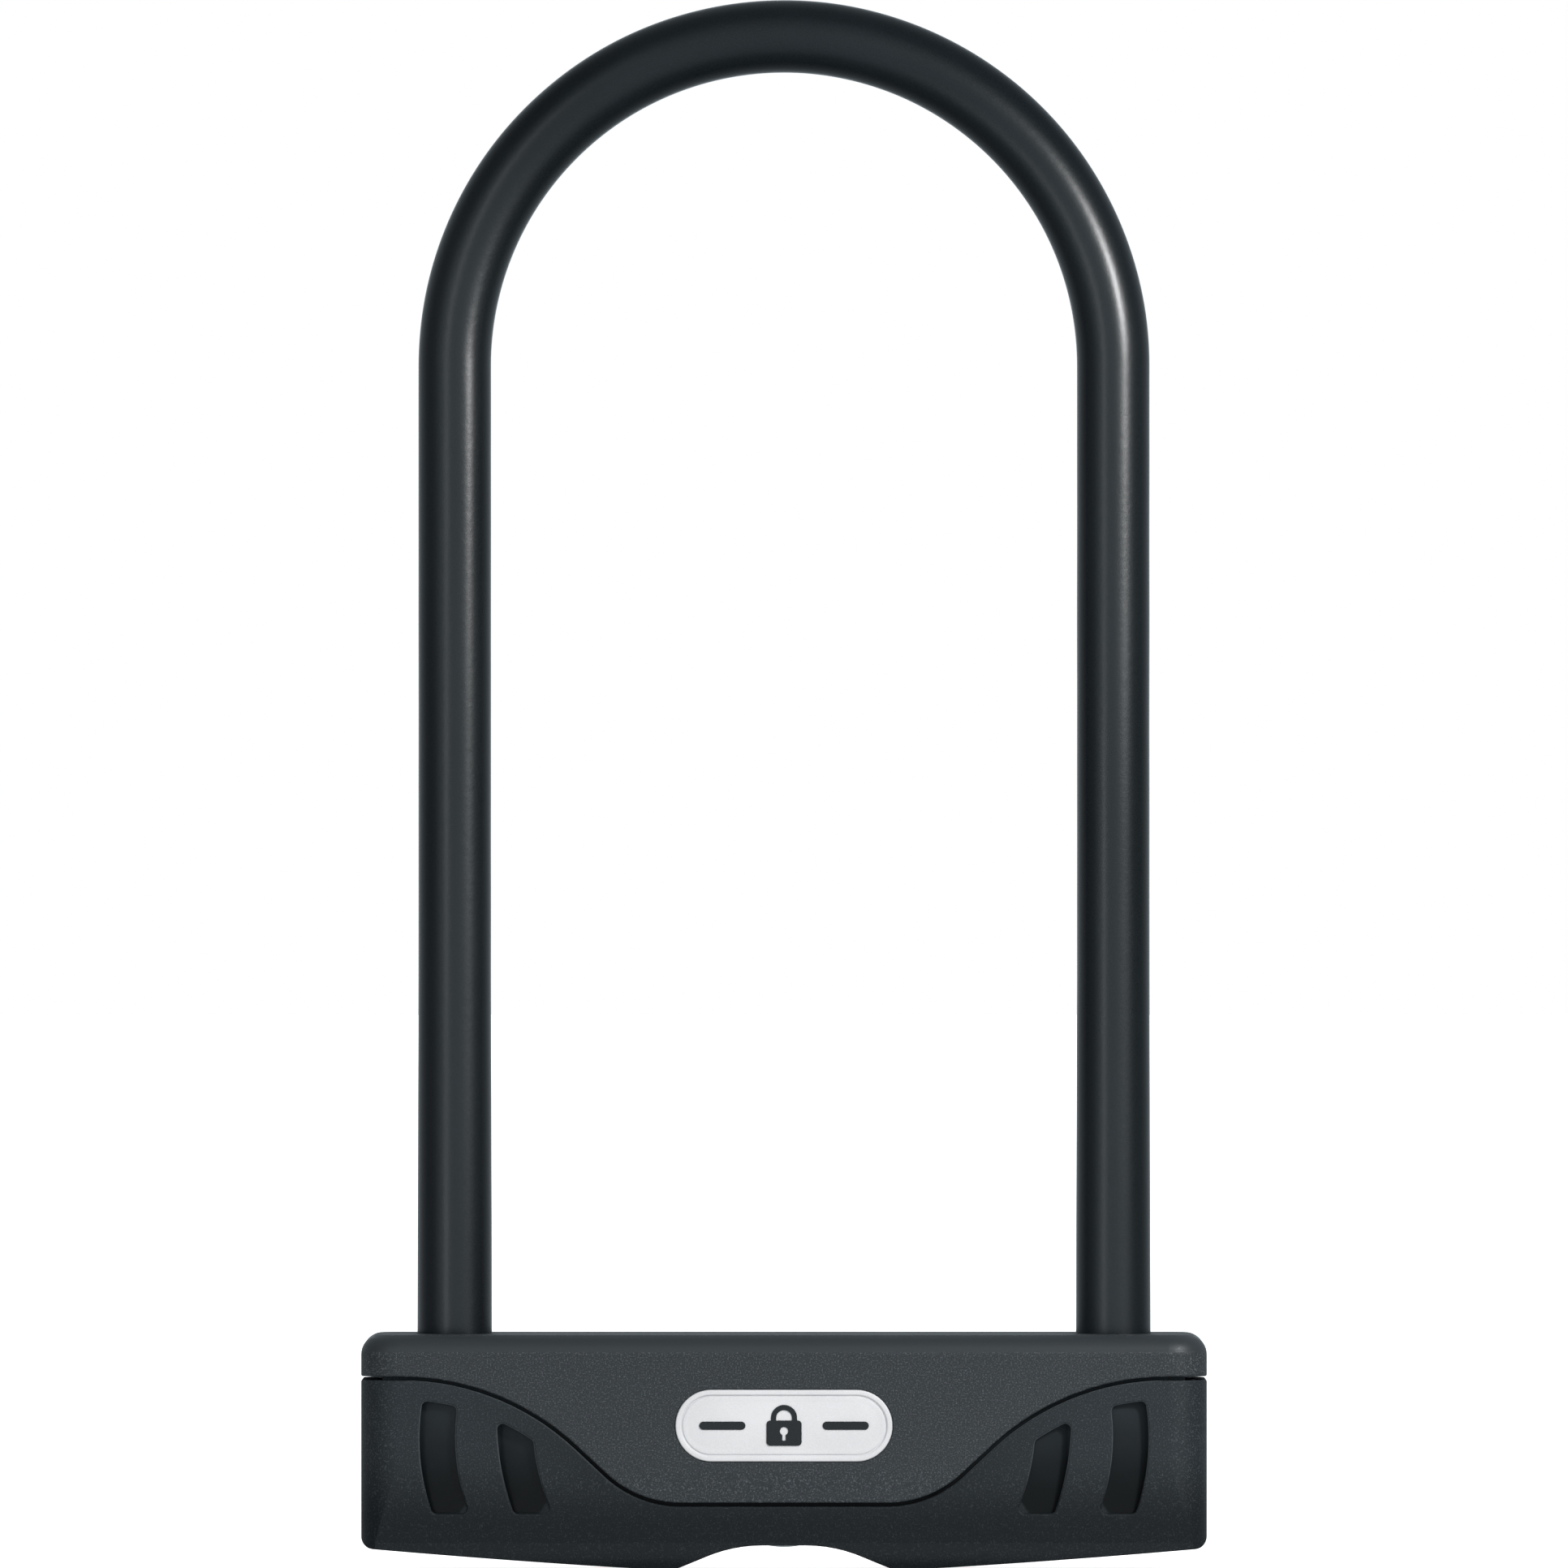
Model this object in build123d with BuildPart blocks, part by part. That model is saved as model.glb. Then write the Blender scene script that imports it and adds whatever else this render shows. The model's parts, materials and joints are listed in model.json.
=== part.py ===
from build123d import *
from math import cos, radians, sin, tan
import os

# U lock: a coated steel shackle in a crossbar head that holds the bolts and the lock cylinder.
# Frame: millimetres, +Z up, X along the crossbar, the badge faces -Y.
# The origin is the middle of the base. The lock is modelled unlocked, with its bolts drawn in.

# ---- driving dimensions -------------------------------------------------------------------------

# shackle
overall_height = 285.8
leg_x = 60.0
bar_radius = 6.0
coating_thickness = 0.68
coat_radius = bar_radius + coating_thickness
coat_foot_radius = 6.86
coat_taper_z = 108.0
bend_z = overall_height - coat_radius - leg_x

# head
head_width = 153.8
head_height = 42.8
head_depth = 36.0
half_width = head_width / 2
half_depth = head_depth / 2
plan_corner = 7.0
top_round = 3.6

# underside: two ridges to stand on, a shallow arch between them, ends that sweep up
ridge_inner_x = 20.1
ridge_outer_x = 21.7
base_mid = (49.7, 1.85)
base_end_z = 4.05
base_end_round = 2.3
arch_height = 4.53
arch_flat = 4.0
arch_radius = 26.0
arch_turn = 22.6

# the faces lean in towards the base
lean_start_z = 20.0
lean_radius = 72.0
lean_turn = 12.0
base_edge_round = 3.0

# parting wave between the two casings
wave_low = 12.0
wave_high = 34.9
wave_start_x = 18.8
wave_inner_radius = 20.0
wave_outer_radius = 46.3
wave_turn = 43.0
parting_gap = 0.66
tongue_thickness = 1.2
tongue_height = 1.5
tongue_play = 0.2

# grip recesses: each is bowed, with its floor deeper on the side towards the end of the head
recess_edges = (
    ((42.2, 44.9, 45.5), (49.0, 51.4, 51.9)),
    ((57.2, 59.4, 59.2), (63.8, 65.9, 65.6)),
)
recess_floor_y = 16.3
recess_tilt = 10.0
recess_bottom_z = 10.4
recess_mid_z = 19.0
recess_top_z = 31.0
recess_top_margin = 3.9
recess_corner = 1.0

# badge
badge_length = 39.5
badge_height = 13.1
badge_z = 26.35
badge_thickness = 1.2
badge_seat = 1.2
badge_play = 0.1
badge_rim = 1.0
badge_rim_height = 0.25
emblem_height = 0.2

# steel crossbar tube inside the casings
tube_half_x = 71.5
tube_half_y = 14.3
tube_bottom = 7.4
tube_top = 40.2
tube_wall = 2.5
tube_mid_z = (tube_bottom + tube_top) / 2
tube_tall = tube_top - tube_bottom
casing_play = 0.2
bore_half_y = tube_half_y - tube_wall
bore_bottom = tube_bottom + tube_wall
bore_top = tube_top - tube_wall

# leg seats
leg_end_z = 13.2
leg_end_chamfer = 1.0
casing_leg_hole = 7.0
tube_leg_hole = 6.3
carrier_leg_bore = 6.25
seal_height = 1.4
seal_radius = 8.6
coat_end_z = 41.9
buffer_radius = 6.0
buffer_height = 2.0
notch_depth = 4.9
notch_bottom = 29.6
notch_top = 36.3

# carriers
carrier_start = 14.0
carrier_end = 68.2
carrier_play = 0.2

# bolts and their drive
bolt_half_y = 6.5
bolt_bottom = 30.1
bolt_top = 35.8
bolt_tip = 53.6
bolt_root = 10.5
channel_play = 0.2
crank_radius = 3.5
crank_pin_radius = 1.25
crank_slot_play = 0.25
arm_split = 0.25
arm_lip = 1.8
crank_x = crank_radius * cos(radians(45))

# lock cylinder
barrel_radius = 10.0
barrel_bottom = 7.6
barrel_top = 26.0
plug_radius = 6.5
plug_play = 0.06
head_radius = 7.5
head_bottom = 7.3
head_top = 8.9
plug_top = 26.1
tail_radius = 4.5
tail_top = 27.0
cam_radius = 5.6
cam_top = 29.9
tang_radius = 3.0
tang_width = 3.2
keyway_half_x = 4.2
keyway_half_y = 1.3
keyway_top = 25.4
nose_hole = 8.0
cap_radius = 7.6
cap_low = 3.8
dome_radius = 15.0

# wafers
wafer_count = 6
wafer_first_z = 12.0
wafer_pitch = 2.4
wafer_thickness = 1.2
wafer_play = 0.05
wafer_half_x = 5.9
wafer_half_y = 2.55
spring_y = 3.35
spring_radius = 0.55
spring_from = -2.5
spring_to = 3.0

# shutter
pivot_y = 2.2
pivot_z = 6.1
shutter_half_x = 4.4
shutter_reach = -1.9
shutter_low = 5.7
shutter_thickness = 0.7
knuckle_radius = 0.7
pivot_pin_radius = 0.35
pocket_half_x = 4.7
pocket_low = 5.6
pocket_high = 10.9

# small fits and details that follow from the sizes above
wave_arc_rise = (wave_inner_radius + wave_outer_radius) * (1 - cos(radians(wave_turn)))
wave_slope = (wave_high - wave_low - wave_arc_rise) / sin(radians(wave_turn))
cavity_half_x = tube_half_x + casing_play
cavity_half_y = tube_half_y + casing_play
cavity_bottom = tube_bottom - casing_play
cavity_top = tube_top + casing_play
leg_hole_round = 0.6
parting_round = 0.3
wave_facing = 0.3
recess_round = 0.4
recess_rim_y = 17.1
edge_tolerance = 0.01
seal_play = 0.1
seal_bore = 6.15
floor_pockets = ((24, 46, 3.8), (48, 70, 5.4))
pocket_half_y = 11.5
end_pocket_x = 74.4
end_pocket_half_y = 9.0
end_pocket_bottom = 10.0
end_pocket_top = 33.0
badge_bevel = 0.2
tube_corner = 2.2
barrel_play = 0.1
barrel_pin_x = 8.3
barrel_pin_z = 18.0
barrel_pin_radius = 1.25
buffer_play = 0.1
carrier_rib = 4.0
carrier_pocket_end = 48.0
carrier_pocket_y = 9.6
carrier_pocket_top = 27.5
head_play = 0.2
guard_radius_out = 8.85
guard_pin_radius = 0.8
guard_length = 6.0
wafer_ear_end = 3.9
wafer_ear_y = 3.9
wafer_window_x = 3.6
wafer_window_y = 1.45
wafer_steps = (0.3, -0.2, 0.1, -0.3, 0.2, 0.0)
spring_wire = 0.15
clip_radius = 7.4
clip_play = 0.05
clip_mouth = 5.0
crank_pin_low = 27.4
crank_pin_play = 0.2
cap_rim_z = cap_low + dome_radius - (dome_radius**2 - cap_radius**2) ** 0.5
pivot_pin_half = 5.3
pivot_play = 0.05
spring_gap = 1.2
bolt_bevel = 1.2

os.makedirs("parts", exist_ok=True)


def save(part, name):
    part.label = name
    export_step(part, f"parts/{name}.step")


def block(x0, x1, y0, y1, z0, z1, mode=Mode.ADD):
    """A box between two corners."""
    with Locations(((x0 + x1) / 2, (y0 + y1) / 2, (z0 + z1) / 2)):
        Box(x1 - x0, y1 - y0, z1 - z0, mode=mode)


def post(x, y, radius, z0, z1, mode=Mode.ADD):
    """An upright cylinder."""
    with Locations((x, y, (z0 + z1) / 2)):
        Cylinder(radius, z1 - z0, mode=mode)


def rod(x0, x1, y, z, radius, mode=Mode.ADD):
    """A cylinder along X."""
    with Locations(((x0 + x1) / 2, y, z)):
        Cylinder(radius, x1 - x0, rotation=(0, 90, 0), mode=mode)


# ---- the head's outer form ----------------------------------------------------------------------


def front_outline():
    """The head seen from the front: flat top, swept-up ends, two ridges and the arch."""
    with BuildSketch(Plane.XZ) as outline:
        with BuildLine():
            top = Line((0, head_height), (half_width, head_height))
            side = Line(top @ 1, (half_width, base_end_z))
            sweep_up = ThreePointArc(side @ 1, base_mid, (ridge_outer_x, 0))
            ridge = Line(sweep_up @ 1, (ridge_inner_x, 0))
            crown = Line((0, arch_height), (arch_flat, arch_height))
            shoulder = JernArc(crown @ 1, (1, 0), arch_radius, -arch_turn)
            Line(shoulder @ 1, ridge @ 1)
            Line(crown @ 0, top @ 0)
        make_face()
        fillet(outline.vertices().group_by(Axis.X)[-1].sort_by(Axis.Y)[0], base_end_round)
        mirror(about=Plane.YZ)
    return outline.sketch


def side_outline():
    """The head seen from its end: upright faces that lean in towards a rounded base."""
    with BuildSketch(Plane.YZ) as outline:
        with BuildLine():
            top = Line((0, head_height), (half_depth, head_height))
            face = Line(top @ 1, (half_depth, lean_start_z))
            lean = JernArc(face @ 1, (0, -1), lean_radius, -lean_turn)
            foot = Line(lean @ 1, ((lean @ 1).X, 0))
            base = Line(foot @ 1, (0, 0))
            Line(base @ 1, top @ 0)
        make_face()
        fillet(outline.vertices().group_by(Axis.Y)[0].sort_by(Axis.X)[-1], base_edge_round)
        mirror(about=Plane.YZ)
    return outline.sketch


def below_wave(shift):
    """Everything under the parting wave, with the wave moved along its normal by shift."""
    with BuildSketch(Plane.XZ) as region:
        with BuildLine():
            flat = Line((0, wave_low + shift), (wave_start_x, wave_low + shift))
            valley = JernArc(flat @ 1, (1, 0), wave_inner_radius - shift, wave_turn)
            slope = Line(valley @ 1, valley @ 1 + (valley % 1) * wave_slope)
            hill = JernArc(slope @ 1, slope % 1, wave_outer_radius + shift, -wave_turn)
            run_out = Line(hill @ 1, (head_width, wave_high + shift))
            drop = Line(run_out @ 1, (head_width, -head_height))
            floor = Line(drop @ 1, (0, -head_height))
            Line(floor @ 1, flat @ 0)
        make_face()
        mirror(about=Plane.YZ)
    return region.sketch


def recess_outline(inner_edge, outer_edge):
    """A curved grip recess between two bowed edges, each given by its x at the foot, middle and top."""
    levels = (recess_bottom_z, recess_mid_z, recess_top_z)
    with BuildSketch(Plane.XZ) as outline:
        with BuildLine():
            inner = ThreePointArc(*zip(inner_edge, levels))
            outer = ThreePointArc(*zip(outer_edge, levels))
            Line(inner @ 0, outer @ 0)
            Line(inner @ 1, outer @ 1)
        make_face()
        add(below_wave(-recess_top_margin), mode=Mode.INTERSECT)
        fillet(outline.vertices(), recess_corner)
    return outline.sketch


with BuildPart() as head_form:
    with BuildSketch(Plane.XY):
        RectangleRounded(head_width, head_depth, plan_corner)
    extrude(amount=head_height)
    extrude(front_outline(), amount=head_depth, both=True, mode=Mode.INTERSECT)
    extrude(side_outline(), amount=head_width, both=True, mode=Mode.INTERSECT)
    fillet(head_form.faces().sort_by(Axis.Z)[-1].edges(), top_round)

with BuildPart() as cavity:
    block(-cavity_half_x, cavity_half_x, -cavity_half_y, cavity_half_y, cavity_bottom, cavity_top)

with BuildPart() as tongue_band:
    reach = tongue_thickness
    block(-cavity_half_x - reach, cavity_half_x + reach, -cavity_half_y - reach, cavity_half_y + reach,
          cavity_bottom, cavity_top)
    extrude(below_wave(tongue_height), amount=head_depth, both=True, mode=Mode.INTERSECT)

with BuildPart() as rebate_band:
    reach = tongue_thickness + tongue_play
    block(-cavity_half_x - reach, cavity_half_x + reach, -cavity_half_y - reach, cavity_half_y + reach,
          cavity_bottom, cavity_top)
    extrude(below_wave(tongue_height + tongue_play), amount=head_depth, both=True, mode=Mode.INTERSECT)

# ---- casings ------------------------------------------------------------------------------------


def on_recess_rim(edge):
    """True for an edge that a recess makes with the outer face, and not for those of its floor."""
    middle = edge.center()
    in_seam = abs(middle.Z - lean_start_z) < edge_tolerance
    return abs(middle.Y) > recess_rim_y and edge.geom_type != GeomType.ELLIPSE and not in_seam


with BuildPart() as upper_casing:
    add(head_form.part)
    extrude(below_wave(parting_gap / 2), amount=head_depth, both=True, mode=Mode.SUBTRACT)
    wave_faces = upper_casing.faces().filter_by(lambda face: face.normal_at().Z < -wave_facing)
    fillet(wave_faces.edges().filter_by(Axis.Y, reverse=True), parting_round)
    add(cavity.part, mode=Mode.SUBTRACT)
    add(rebate_band.part, mode=Mode.SUBTRACT)
    for x in (-leg_x, leg_x):
        post(x, 0, casing_leg_hole, cavity_top, head_height, mode=Mode.SUBTRACT)
    rims = upper_casing.edges().filter_by(GeomType.CIRCLE).group_by(Axis.Z)[-1]
    fillet(rims, leg_hole_round)
    for x in (-leg_x, leg_x):
        post(x, 0, seal_radius + seal_play, cavity_top, tube_top + seal_height + seal_play,
             mode=Mode.SUBTRACT)
    with BuildSketch(Plane.XZ.offset(half_depth - badge_seat)):
        with Locations((0, badge_z)):
            SlotOverall(badge_length + 2 * badge_play, badge_height + 2 * badge_play)
    extrude(amount=badge_thickness, mode=Mode.SUBTRACT)
save(upper_casing.part, "upper_casing")

recess_cuts = []
for inner_edge, outer_edge in recess_edges:
    middle_x = (inner_edge[1] + outer_edge[1]) / 2
    floor_plane = Plane(origin=(middle_x, -recess_floor_y, 0), z_dir=(tan(radians(recess_tilt)), -1, 0))
    with BuildPart() as recess_cut:
        extrude(recess_outline(inner_edge, outer_edge), amount=head_depth)
        split(bisect_by=floor_plane, keep=Keep.TOP)
        mirror(about=Plane.YZ)
        mirror(about=Plane.XZ)
    recess_cuts.append(recess_cut.part)

with BuildPart() as lower_casing:
    add(head_form.part)
    extrude(below_wave(-parting_gap / 2), amount=head_depth, both=True, mode=Mode.INTERSECT)
    wave_faces = lower_casing.faces().filter_by(lambda face: face.normal_at().Z > wave_facing)
    fillet(wave_faces.edges().filter_by(Axis.Y, reverse=True), parting_round)
    for recess_cut in recess_cuts:
        add(recess_cut, mode=Mode.SUBTRACT)
        new_edges = lower_casing.edges(Select.LAST).filter_by(Axis.Y, reverse=True)
        fillet(new_edges.filter_by(on_recess_rim), recess_round)
    add(tongue_band.part)
    add(cavity.part, mode=Mode.SUBTRACT)
    post(0, 0, nose_hole, 0, cavity_bottom, mode=Mode.SUBTRACT)
    for side in (-1, 1):
        for start, end, low in floor_pockets:
            block(*sorted((side * start, side * end)), -pocket_half_y, pocket_half_y, low, cavity_bottom,
                  mode=Mode.SUBTRACT)
        block(*sorted((side * cavity_half_x, side * end_pocket_x)), -end_pocket_half_y, end_pocket_half_y,
              end_pocket_bottom, end_pocket_top, mode=Mode.SUBTRACT)
save(lower_casing.part, "lower_casing")

# ---- badge --------------------------------------------------------------------------------------

badge_back_y = half_depth - badge_seat
badge_face_y = badge_back_y + badge_thickness - badge_rim_height

with BuildPart() as badge_plate:
    with BuildSketch(Plane.XZ.offset(badge_back_y)):
        with Locations((0, badge_z)):
            SlotOverall(badge_length, badge_height)
    extrude(amount=badge_thickness)
    chamfer(badge_plate.faces().sort_by(Axis.Y)[0].edges(), badge_bevel)
    with BuildSketch(Plane.XZ.offset(badge_face_y)):
        with Locations((0, badge_z)):
            SlotOverall(badge_length - 2 * badge_rim, badge_height - 2 * badge_rim)
    extrude(amount=badge_thickness, mode=Mode.SUBTRACT)
save(badge_plate.part, "badge_plate")

with BuildPart() as badge_emblem:
    with BuildSketch(Plane.XZ.offset(badge_face_y)):
        with Locations((0, badge_z - 1.35)):
            RectangleRounded(6.4, 4.6, 0.7)
        with BuildLine():
            loop = CenterArc((0, badge_z + 1.4), 1.9, 0, 180)
            Line(loop @ 0, (loop @ 0) - (0, 0.8))
            Line(loop @ 1, (loop @ 1) - (0, 0.8))
        trace(line_width=0.95)
        with Locations((-11.2, badge_z), (11.2, badge_z)):
            SlotOverall(8.4, 1.5)
        with Locations((0, badge_z - 1.0)):
            Circle(0.75, mode=Mode.SUBTRACT)
        with Locations((0, badge_z - 1.9)):
            Rectangle(0.6, 1.6, mode=Mode.SUBTRACT)
    extrude(amount=emblem_height)
save(badge_emblem.part, "badge_emblem")

# ---- crossbar tube and what it holds --------------------------------------------------------------

with BuildPart() as housing_tube:
    with BuildSketch(Plane.YZ):
        with Locations((0, tube_mid_z)):
            RectangleRounded(2 * tube_half_y, tube_tall, tube_corner)
            Rectangle(2 * bore_half_y, bore_top - bore_bottom, mode=Mode.SUBTRACT)
    extrude(amount=tube_half_x, both=True)
    post(0, 0, barrel_radius + barrel_play, tube_bottom, bore_bottom, mode=Mode.SUBTRACT)
    for side in (-1, 1):
        post(side * leg_x, 0, tube_leg_hole, bore_top, tube_top, mode=Mode.SUBTRACT)
        with Locations((side * barrel_pin_x, 0, barrel_pin_z)):
            Cylinder(barrel_pin_radius, 2 * tube_half_y, rotation=(90, 0, 0), mode=Mode.SUBTRACT)
save(housing_tube.part, "housing_tube")

with BuildPart() as right_end_plug:
    block(carrier_end, tube_half_x, -bore_half_y, bore_half_y, bore_bottom, bore_top)
save(right_end_plug.part, "right_end_plug")

with BuildPart() as left_end_plug:
    mirror(right_end_plug.part, about=Plane.YZ)
save(left_end_plug.part, "left_end_plug")

buffer_low = leg_end_z - buffer_play - buffer_height

with BuildPart() as right_carrier:
    half_y = bore_half_y - carrier_play
    block(carrier_start, carrier_end, -half_y, half_y, bore_bottom, bore_top - carrier_play)
    post(leg_x, 0, carrier_leg_bore, buffer_low, bore_top, mode=Mode.SUBTRACT)
    channel_y = bolt_half_y + channel_play
    block(carrier_start, leg_x, -channel_y, channel_y, bolt_bottom - channel_play,
          bolt_top + channel_play, mode=Mode.SUBTRACT)
    block(carrier_start + carrier_rib, carrier_pocket_end, -carrier_pocket_y, carrier_pocket_y,
          bore_bottom, carrier_pocket_top, mode=Mode.SUBTRACT)
save(right_carrier.part, "right_carrier")

with BuildPart() as left_carrier:
    mirror(right_carrier.part, about=Plane.YZ)
save(left_carrier.part, "left_carrier")

for side, name in ((-1, "left"), (1, "right")):
    with BuildPart() as leg_buffer:
        post(side * leg_x, 0, buffer_radius, buffer_low, buffer_low + buffer_height)
    save(leg_buffer.part, f"{name}_leg_buffer")

    with BuildPart() as entry_seal:
        post(side * leg_x, 0, seal_radius, tube_top, tube_top + seal_height)
        post(side * leg_x, 0, seal_bore, tube_top, tube_top + seal_height, mode=Mode.SUBTRACT)
    save(entry_seal.part, f"{name}_entry_seal")

# ---- shackle --------------------------------------------------------------------------------------


def shackle_route(low):
    """Centreline of the U, with both legs ending at height low."""
    with BuildLine(Plane.XZ) as route:
        bend = CenterArc((0, bend_z), leg_x, 0, 180)
        Line((leg_x, low), bend @ 0)
        Line(bend @ 1, (-leg_x, low))
    return route.wire()


with BuildPart() as shackle_bar:
    with BuildSketch(Plane.XY.offset(leg_end_z)):
        with Locations((leg_x, 0)):
            Circle(bar_radius)
    sweep(path=shackle_route(leg_end_z))
    chamfer(shackle_bar.edges().group_by(Axis.Z)[0], leg_end_chamfer)
    for side in (-1, 1):
        notch_start = side * (leg_x - bar_radius - 1)
        notch_end = side * (leg_x - bar_radius + notch_depth)
        block(*sorted((notch_start, notch_end)), -bar_radius, bar_radius, notch_bottom, notch_top,
              mode=Mode.SUBTRACT)
save(shackle_bar.part, "shackle_bar")

# the dipped coating thickens a little towards the feet
with BuildPart() as shackle_coating:
    with BuildSketch(Plane.XY.offset(coat_taper_z)):
        with Locations((leg_x, 0)):
            Circle(coat_radius)
            Circle(bar_radius, mode=Mode.SUBTRACT)
    sweep(path=shackle_route(coat_taper_z))
    for side in (-1, 1):
        with Locations((side * leg_x, 0, (coat_end_z + coat_taper_z) / 2)):
            Cone(coat_foot_radius, coat_radius, coat_taper_z - coat_end_z)
        post(side * leg_x, 0, bar_radius, coat_end_z, coat_taper_z, mode=Mode.SUBTRACT)
save(shackle_coating.part, "shackle_coating")

# ---- lock cylinder --------------------------------------------------------------------------------

with BuildPart() as cylinder_barrel:
    post(0, 0, barrel_radius, barrel_bottom, barrel_top)
    post(0, 0, plug_radius + plug_play, barrel_bottom, barrel_top, mode=Mode.SUBTRACT)
    post(0, 0, head_radius + head_play, barrel_bottom, head_top + plug_play, mode=Mode.SUBTRACT)
    for side in (-1, 1):
        post(0, side * guard_radius_out, guard_pin_radius, barrel_bottom, barrel_bottom + guard_length,
             mode=Mode.SUBTRACT)
        with Locations((side * barrel_pin_x, 0, barrel_pin_z)):
            Cylinder(barrel_pin_radius, 2 * tube_half_y, rotation=(90, 0, 0), mode=Mode.SUBTRACT)
save(cylinder_barrel.part, "cylinder_barrel")

with BuildPart() as barrel_pins:
    with Locations((-barrel_pin_x, 0, barrel_pin_z), (barrel_pin_x, 0, barrel_pin_z)):
        Cylinder(barrel_pin_radius, 2 * tube_half_y, rotation=(90, 0, 0))
save(barrel_pins.part, "barrel_pins")

with BuildPart() as drill_guard_pins:
    for side in (-1, 1):
        post(0, side * guard_radius_out, guard_pin_radius, barrel_bottom, barrel_bottom + guard_length)
save(drill_guard_pins.part, "drill_guard_pins")


def wafer_z(number):
    return wafer_first_z + number * wafer_pitch


def shutter_pocket():
    """Room in the plug's nose for the shutter to lie shut and to swing up out of the keyway."""
    block(-pocket_half_x, pocket_half_x, shutter_reach - 0.2, pivot_y, pocket_low, pocket_high,
          mode=Mode.SUBTRACT)
    block(-pocket_half_x, pocket_half_x, pivot_y - 0.9, pivot_y + 1.1, pivot_z - knuckle_radius - 0.1,
          pocket_high, mode=Mode.SUBTRACT)


with BuildPart() as cylinder_plug:
    post(0, 0, head_radius, head_bottom, head_top)
    post(0, 0, plug_radius, head_top, plug_top)
    post(0, 0, tail_radius, plug_top, tail_top)
    with BuildSketch(Plane.XY.offset(tail_top)):
        Circle(tang_radius)
        Rectangle(tang_width, 2 * tang_radius, rotation=45, mode=Mode.INTERSECT)
    extrude(amount=cam_top - tail_top)
    block(-keyway_half_x, keyway_half_x, -keyway_half_y, keyway_half_y, head_bottom, keyway_top,
          mode=Mode.SUBTRACT)
    shutter_pocket()
    for number in range(wafer_count):
        low = wafer_z(number) - wafer_play
        high = wafer_z(number) + wafer_thickness + wafer_play
        block(-plug_radius, plug_radius, -wafer_half_y - wafer_play, wafer_half_y + wafer_play, low, high,
              mode=Mode.SUBTRACT)
        block(spring_to - wafer_play, wafer_ear_end + wafer_play, 0, wafer_ear_y + wafer_play, low, high,
              mode=Mode.SUBTRACT)
        block(spring_from, spring_to, wafer_half_y, spring_y + spring_radius + wafer_play, low, high,
              mode=Mode.SUBTRACT)
save(cylinder_plug.part, "cylinder_plug")

for number in range(wafer_count):
    with BuildPart() as wafer:
        low = wafer_z(number)
        high = low + wafer_thickness
        block(-wafer_half_x, wafer_half_x, -wafer_half_y, wafer_half_y, low, high)
        block(spring_to, wafer_ear_end, 0, wafer_ear_y, low, high)
        window_shift = wafer_steps[number]
        block(-wafer_window_x + window_shift, wafer_window_x + window_shift, -wafer_window_y,
              wafer_window_y, low, high, mode=Mode.SUBTRACT)
    save(wafer.part, f"wafer_{number + 1}")

with BuildPart() as wafer_springs:
    for number in range(wafer_count):
        mid = wafer_z(number) + wafer_thickness / 2
        rod(spring_from, spring_to, spring_y, mid, spring_radius)
        rod(spring_from, spring_to, spring_y, mid, spring_radius - spring_wire, mode=Mode.SUBTRACT)
save(wafer_springs.part, "wafer_springs")

with BuildPart() as plug_clip:
    post(0, 0, clip_radius, plug_top + clip_play, tail_top - clip_play)
    post(0, 0, tail_radius, plug_top + clip_play, tail_top - clip_play, mode=Mode.SUBTRACT)
    block(-clip_radius, 0, -clip_mouth / 2, clip_mouth / 2, plug_top, tail_top, mode=Mode.SUBTRACT)
save(plug_clip.part, "plug_clip")

with BuildPart() as cam_disc:
    post(0, 0, cam_radius, tail_top, cam_top)
    with BuildSketch(Plane.XY.offset(tail_top)):
        Circle(tang_radius)
        Rectangle(tang_width, 2 * tang_radius, rotation=45, mode=Mode.INTERSECT)
    extrude(amount=cam_top - tail_top, mode=Mode.SUBTRACT)
    for side in (-1, 1):
        post(side * crank_x, side * crank_x, crank_pin_radius, crank_pin_low, cam_top, mode=Mode.SUBTRACT)
save(cam_disc.part, "cam_disc")

with BuildPart() as crank_pins:
    for side in (-1, 1):
        post(side * crank_x, side * crank_x, crank_pin_radius, crank_pin_low, bolt_top - crank_pin_play)
save(crank_pins.part, "crank_pins")

with BuildPart() as keyway_cap:
    with BuildSketch(Plane.XZ):
        with BuildLine():
            dome = RadiusArc((0, cap_low), (cap_radius, cap_rim_z), -dome_radius)
            wall = Line(dome @ 1, (cap_radius, head_bottom))
            back = Line(wall @ 1, (0, head_bottom))
            Line(back @ 1, dome @ 0)
        make_face()
    revolve(axis=Axis.Z)
    block(-pocket_half_x, pocket_half_x, -keyway_half_y, keyway_half_y, cap_low - 1, head_bottom,
          mode=Mode.SUBTRACT)
    shutter_pocket()
    rod(-pivot_pin_half, pivot_pin_half, pivot_y, pivot_z, pivot_pin_radius, mode=Mode.SUBTRACT)
save(keyway_cap.part, "keyway_cap")

# ---- keyway shutter ---------------------------------------------------------------------------------

with BuildPart() as shutter:
    block(-shutter_half_x, shutter_half_x, shutter_reach, pivot_y, shutter_low,
          shutter_low + shutter_thickness)
    rod(-shutter_half_x, shutter_half_x, pivot_y, pivot_z, knuckle_radius)
    rod(-shutter_half_x, shutter_half_x, pivot_y, pivot_z, pivot_pin_radius + pivot_play,
        mode=Mode.SUBTRACT)
    block(-spring_gap, spring_gap, pivot_y - 1.0, pivot_y + 1.0, pocket_low - 1, pocket_high,
          mode=Mode.SUBTRACT)
save(shutter.part, "shutter")

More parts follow.
